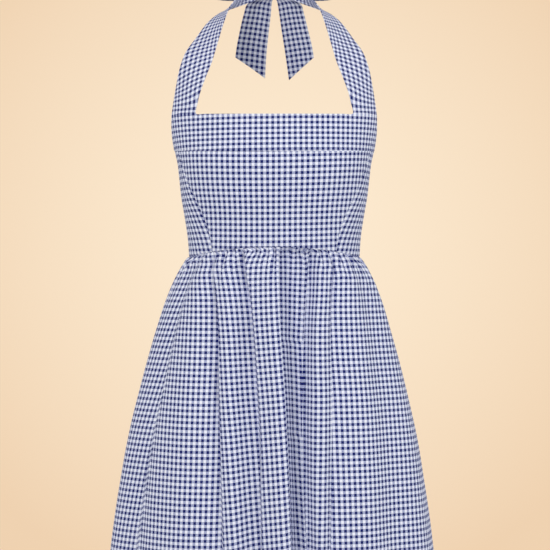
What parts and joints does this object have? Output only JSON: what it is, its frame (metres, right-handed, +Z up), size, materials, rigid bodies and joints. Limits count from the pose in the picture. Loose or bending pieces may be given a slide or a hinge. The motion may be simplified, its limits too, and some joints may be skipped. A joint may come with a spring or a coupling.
{
  "type": "halter mini dress",
  "caption": "Sleeveless halter mini dress of checked cotton with a fitted bodice, a gathered skirt and a bow tied at the nape.",
  "frame": {"origin": "inside of the neck loop at the nape, where the wearer's neck holds the dress up", "axes": "+Z up towards the knot from the hem, -Y the way the front faces, +X towards the right strap as seen from the front"},
  "size_m": [0.4919, 0.3705, 0.9184],
  "materials": {
    "gingham_cotton": "plain woven cotton in navy and white checks",
    "zip_tape": "navy woven tape with a nylon coil",
    "zip_metal": "navy enamelled metal"
  },
  "bodies": {
    "dress": {"halter_yoke": "gingham_cotton", "bodice_front": "gingham_cotton", "side_front_right": "gingham_cotton", "side_front_left": "gingham_cotton", "back_right": "gingham_cotton", "back_left": "gingham_cotton", "skirt_front": "gingham_cotton", "skirt_back_right": "gingham_cotton", "skirt_back_left": "gingham_cotton", "tie_knot": "gingham_cotton", "bow_loop_right": "gingham_cotton", "bow_loop_left": "gingham_cotton", "tie_tail_right": "gingham_cotton", "tie_tail_left": "gingham_cotton", "zip_tape": "zip_tape", "zip_slider": "zip_metal"},
    "pull_tab": {"zip_pull_tab": "zip_metal"}
  },
  "joints": [
    {"name": "pull_tab_hinge", "type": "hinge", "parent": "dress", "child": "pull_tab", "pos_m": [0, 0.0259, -0.313], "axis": [1, 0, 0], "range_deg": [-7, 165]}
  ]
}
